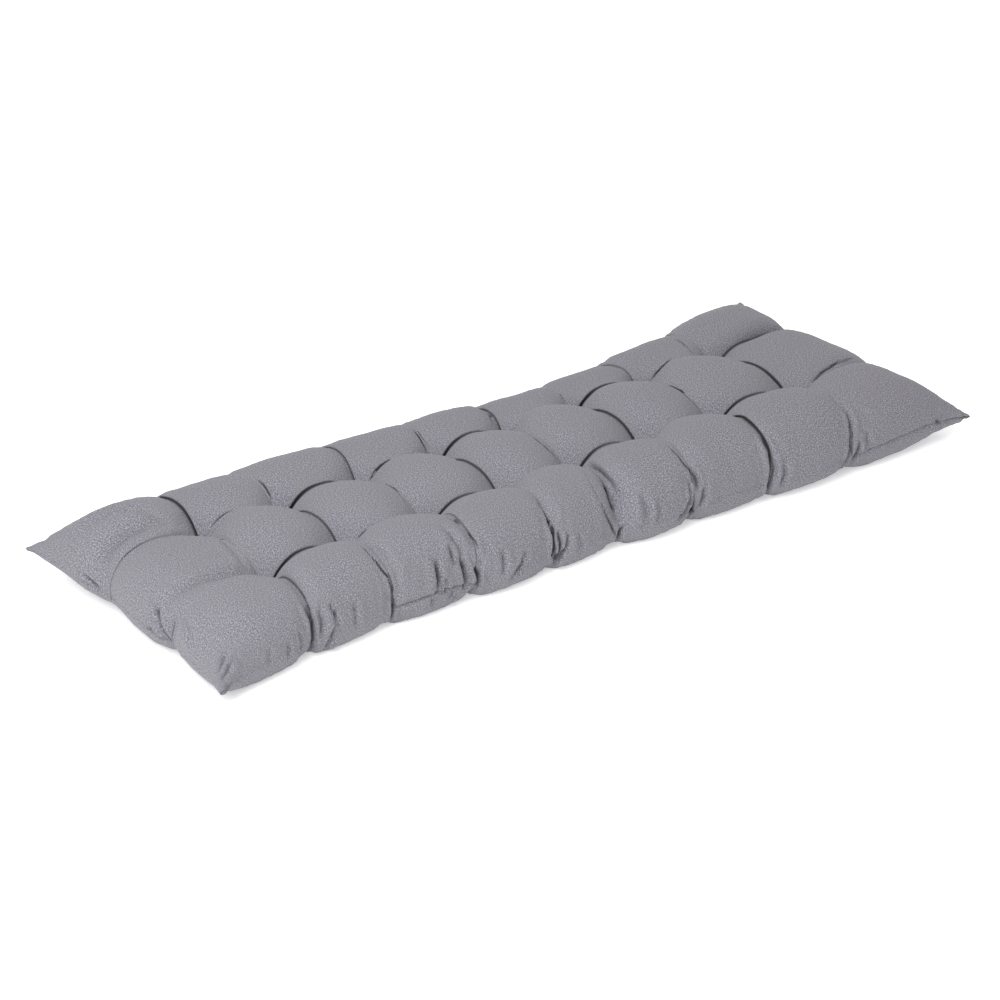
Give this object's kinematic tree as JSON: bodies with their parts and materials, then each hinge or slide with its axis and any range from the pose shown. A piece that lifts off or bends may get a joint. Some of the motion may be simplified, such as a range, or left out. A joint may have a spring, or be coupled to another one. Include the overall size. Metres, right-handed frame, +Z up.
{
  "type": "tufted bench cushion",
  "caption": "Long, softly stuffed bench cushion in plain woven cloth, tied down in rows of tufts into full square puffs, with pointed corners and a plain edge seam.",
  "frame": {"origin": "middle of the box's underside, at the height of the surface that the cushion lies on", "axes": "+X along the cushion's length, +Y from its front long edge to its back one, +Z up through its thickness"},
  "size_m": [1.2055, 0.4427, 0.1034],
  "materials": {
    "cover_cloth": "matt plain weave in mixed grey yarn, slightly violet, with light and dark flecks"
  },
  "bodies": {
    "root": {"filled_cover": "cover_cloth"}
  },
  "joints": []
}
